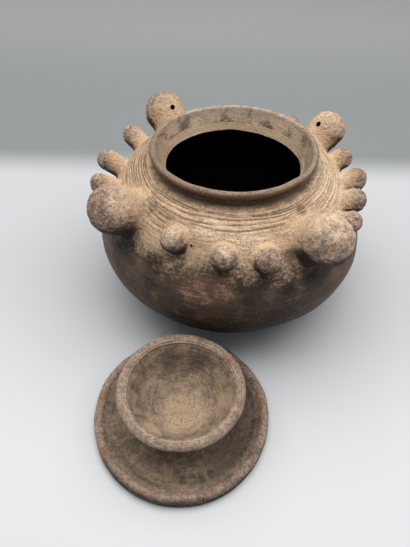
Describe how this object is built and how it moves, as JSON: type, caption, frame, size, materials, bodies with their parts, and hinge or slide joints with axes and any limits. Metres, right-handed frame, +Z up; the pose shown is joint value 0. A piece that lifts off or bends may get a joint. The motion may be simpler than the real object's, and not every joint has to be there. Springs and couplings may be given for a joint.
{
  "type": "libation jar",
  "caption": "Round hand-built clay jar with a flared mouth, combed lines and a ring of ball knobs on its shoulder, and a loose lid whose handle is a cup for pouring offerings.",
  "frame": {"origin": "middle of the jar's flat base, on the surface that the jar and the lid stand on", "axes": "+Z up along the jar's axis, -Y to the front where the lid lies, +X to the viewer's right"},
  "size_m": [0.2632, 0.3888, 0.1613],
  "materials": {
    "smoked_clay": "unglazed, smoke-darkened and hand-burnished",
    "dusty_clay": "unglazed, matte, filmed with sandy dust",
    "rim_clay": "unglazed, matte, worn reddish at the edge",
    "worn_clay": "unglazed, gritty, worn pale on top and dark below",
    "lid_clay": "unglazed, matte, sandy inside the cup and reddish on worn edges"
  },
  "bodies": {
    "jar": {"base_bowl": "smoked_clay", "shoulder": "dusty_clay", "neck_rim": "rim_clay", "large_knob_front_left": "worn_clay", "large_knob_front_right": "worn_clay", "large_knob_back_right": "worn_clay", "large_knob_back_left": "worn_clay", "small_knob_front_1": "worn_clay", "small_knob_front_2": "worn_clay", "small_knob_front_3": "worn_clay", "small_knob_right_1": "worn_clay", "small_knob_right_2": "worn_clay", "small_knob_right_3": "worn_clay", "small_knob_right_4": "worn_clay", "small_knob_back_1": "worn_clay", "small_knob_back_2": "worn_clay", "small_knob_back_3": "worn_clay", "small_knob_left_1": "worn_clay", "small_knob_left_2": "worn_clay", "small_knob_left_3": "worn_clay"},
    "lid": {"lid_plate": "lid_clay", "lid_cup": "lid_clay"}
  },
  "joints": [
    {"name": "lid_lift", "type": "slide", "parent": "jar", "child": "lid", "axis": [-0.1116, -0.4874, 0.866], "range_m": [0, 0.22]}
  ]
}
